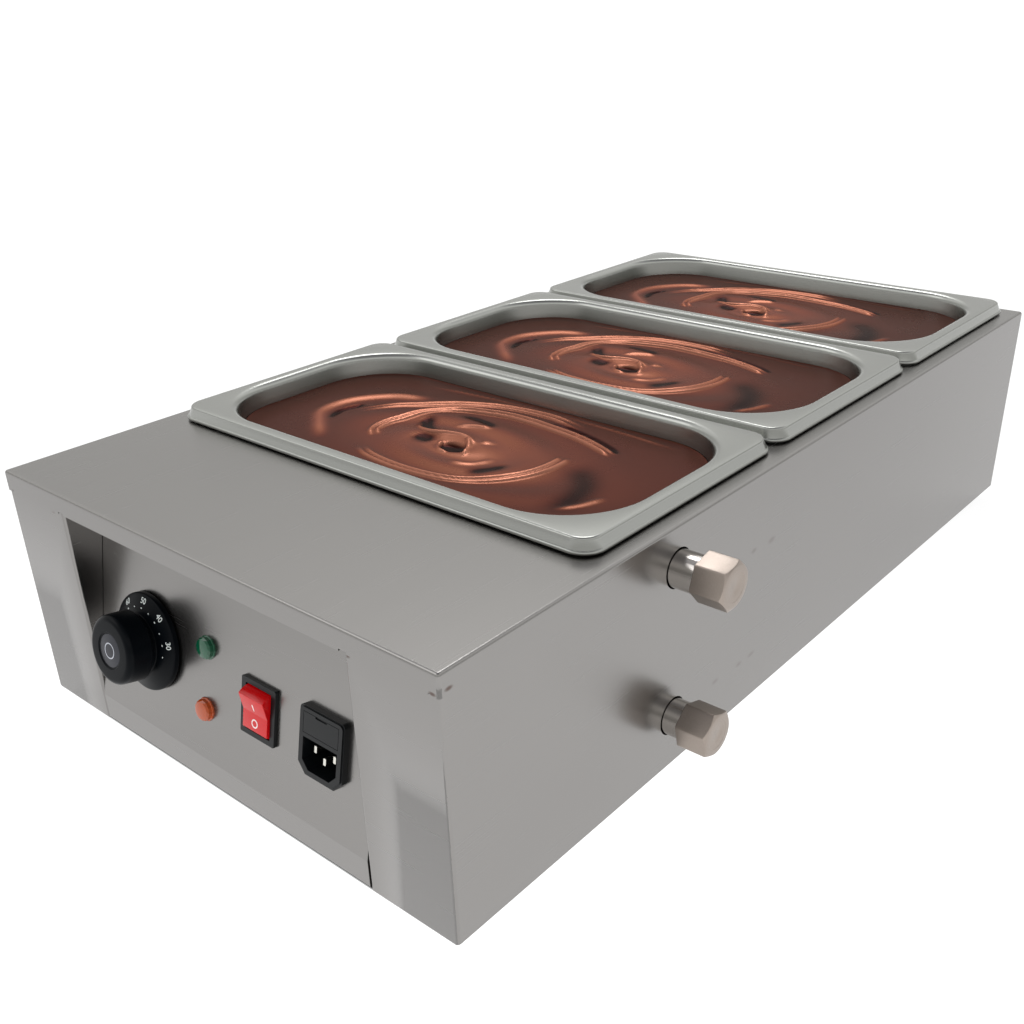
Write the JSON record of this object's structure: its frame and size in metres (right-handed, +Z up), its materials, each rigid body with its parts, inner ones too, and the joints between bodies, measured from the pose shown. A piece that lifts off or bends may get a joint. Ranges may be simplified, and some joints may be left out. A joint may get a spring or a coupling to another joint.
{
  "type": "chocolate melting pot",
  "caption": "Low rectangular stainless water bath on feet with a row of lift-out pans of melted chocolate, a recessed leaning control panel, and capped drain and overflow pipes on one side.",
  "frame": {"origin": "on the surface it stands on, in the middle between the feet", "axes": "+X to the right seen from the front, where the pipes come out; the control panel faces -Y; +Z up"},
  "size_m": [0.379, 0.6726, 0.165],
  "materials": {
    "case_steel": "satin stainless steel, brushed along the sheet",
    "base_steel": "dull mill finish",
    "tank_steel": "dull mill finish",
    "pan_steel": "satin stainless steel with a brighter rolled rim",
    "fitting_steel": "turned stainless steel, lightly scratched",
    "zinc_steel": "bright zinc plate",
    "element_sheath": "dull, darkened by heat",
    "plain_brass": "plain machined brass",
    "copper": "plain drawn copper",
    "nickel_pins": "bright nickel plate",
    "knob_disc": "dark satin disc",
    "foot_rubber": "matt moulded rubber",
    "black_rubber": "matt rubber",
    "red_silicone": "matt silicone rubber",
    "knob_plastic": "semi-gloss black with white numbers",
    "black_plastic": "fine satin black",
    "red_plastic": "glossy translucent red with white marks",
    "white_plastic": "plain moulded nylon",
    "green_lens": "clear green lens with facets inside",
    "orange_lens": "clear orange lens with facets inside",
    "fuse_glass": "clear tube with plated end caps",
    "chocolate": "melted milk chocolate, glossy"
  },
  "bodies": {
    "housing": {"casing": "case_steel", "rear_panel": "case_steel", "control_panel": "case_steel", "base_plate": "base_steel", "water_tank": "tank_steel", "foot_front_left": "foot_rubber", "foot_front_right": "foot_rubber", "foot_rear_left": "foot_rubber", "foot_rear_right": "foot_rubber", "foot_screws": "zinc_steel", "base_screws": "zinc_steel", "base_nuts": "zinc_steel", "heating_element": "element_sheath", "heater_glands": "plain_brass", "sensor_bulb": "copper", "sensor_gland": "plain_brass", "capillary_tube": "copper", "thermostat_body": "zinc_steel", "thermostat_screws": "zinc_steel", "green_lens": "green_lens", "orange_lens": "orange_lens", "lamp_bodies": "white_plastic", "switch_housing": "black_plastic", "inlet_housing": "black_plastic", "inlet_pins": "nickel_pins", "terminal_block": "white_plastic", "terminal_screws": "plain_brass", "earth_stud": "plain_brass", "drain_stub": "fitting_steel", "overflow_stub": "fitting_steel", "stub_gaskets": "red_silicone", "stub_locknuts": "plain_brass"},
    "front_pan": {"pan_front": "pan_steel", "chocolate_front": "chocolate"},
    "middle_pan": {"pan_middle": "pan_steel", "chocolate_middle": "chocolate"},
    "rear_pan": {"pan_rear": "pan_steel", "chocolate_rear": "chocolate"},
    "dial": {"dial_spindle": "zinc_steel", "dial_knob": "knob_plastic", "dial_disc": "knob_disc"},
    "rocker": {"switch_rocker": "red_plastic"},
    "drawer": {"fuse_drawer": "black_plastic", "fuse": "fuse_glass"},
    "drain_seal": {"drain_cap_washer": "black_rubber"},
    "drain_cover": {"drain_cap": "fitting_steel"},
    "overflow_seal": {"overflow_cap_washer": "black_rubber"},
    "overflow_cover": {"overflow_cap": "fitting_steel"}
  },
  "joints": [
    {"name": "front_pan_lift", "type": "slide", "parent": "housing", "child": "front_pan", "axis": [0, 0, 1], "range_m": [0, 0.11]},
    {"name": "middle_pan_lift", "type": "slide", "parent": "housing", "child": "middle_pan", "axis": [0, 0, 1], "range_m": [0, 0.11]},
    {"name": "rear_pan_lift", "type": "slide", "parent": "housing", "child": "rear_pan", "axis": [0, 0, 1], "range_m": [0, 0.11]},
    {"name": "dial_turn", "type": "hinge", "parent": "housing", "child": "dial", "pos_m": [-0.066, -0.31604, 0.07694], "axis": [0, 0.9796, -0.2011], "range_deg": [0, 285]},
    {"name": "rocker_tilt", "type": "hinge", "parent": "housing", "child": "rocker", "pos_m": [0.031, -0.31509, 0.07164], "axis": [-1, 0, 0], "range_deg": [0, 20]},
    {"name": "drawer_pull", "type": "slide", "parent": "housing", "child": "drawer", "axis": [0, -0.9796, 0.2011], "range_m": [0, 0.022]},
    {"name": "drain_cap_travel", "type": "slide", "parent": "housing", "child": "drain_seal", "axis": [1, 0, 0], "range_m": [0, 0.0146]},
    {"name": "drain_cap_turn", "type": "hinge", "parent": "drain_seal", "child": "drain_cover", "pos_m": [0.19, -0.1545, 0.041], "axis": [1, 0, 0], "range_deg": [0, 2880]},
    {"name": "overflow_cap_travel", "type": "slide", "parent": "housing", "child": "overflow_seal", "axis": [1, 0, 0], "range_m": [0, 0.0146]},
    {"name": "overflow_cap_turn", "type": "hinge", "parent": "overflow_seal", "child": "overflow_cover", "pos_m": [0.19, -0.1545, 0.1315], "axis": [1, 0, 0], "range_deg": [0, 2880]}
  ],
  "couplings": [
    {"joint": "drain_cap_travel", "follows": "drain_cap_turn", "m_per_rad": 0.00028871},
    {"joint": "overflow_cap_travel", "follows": "overflow_cap_turn", "m_per_rad": 0.00028871}
  ]
}
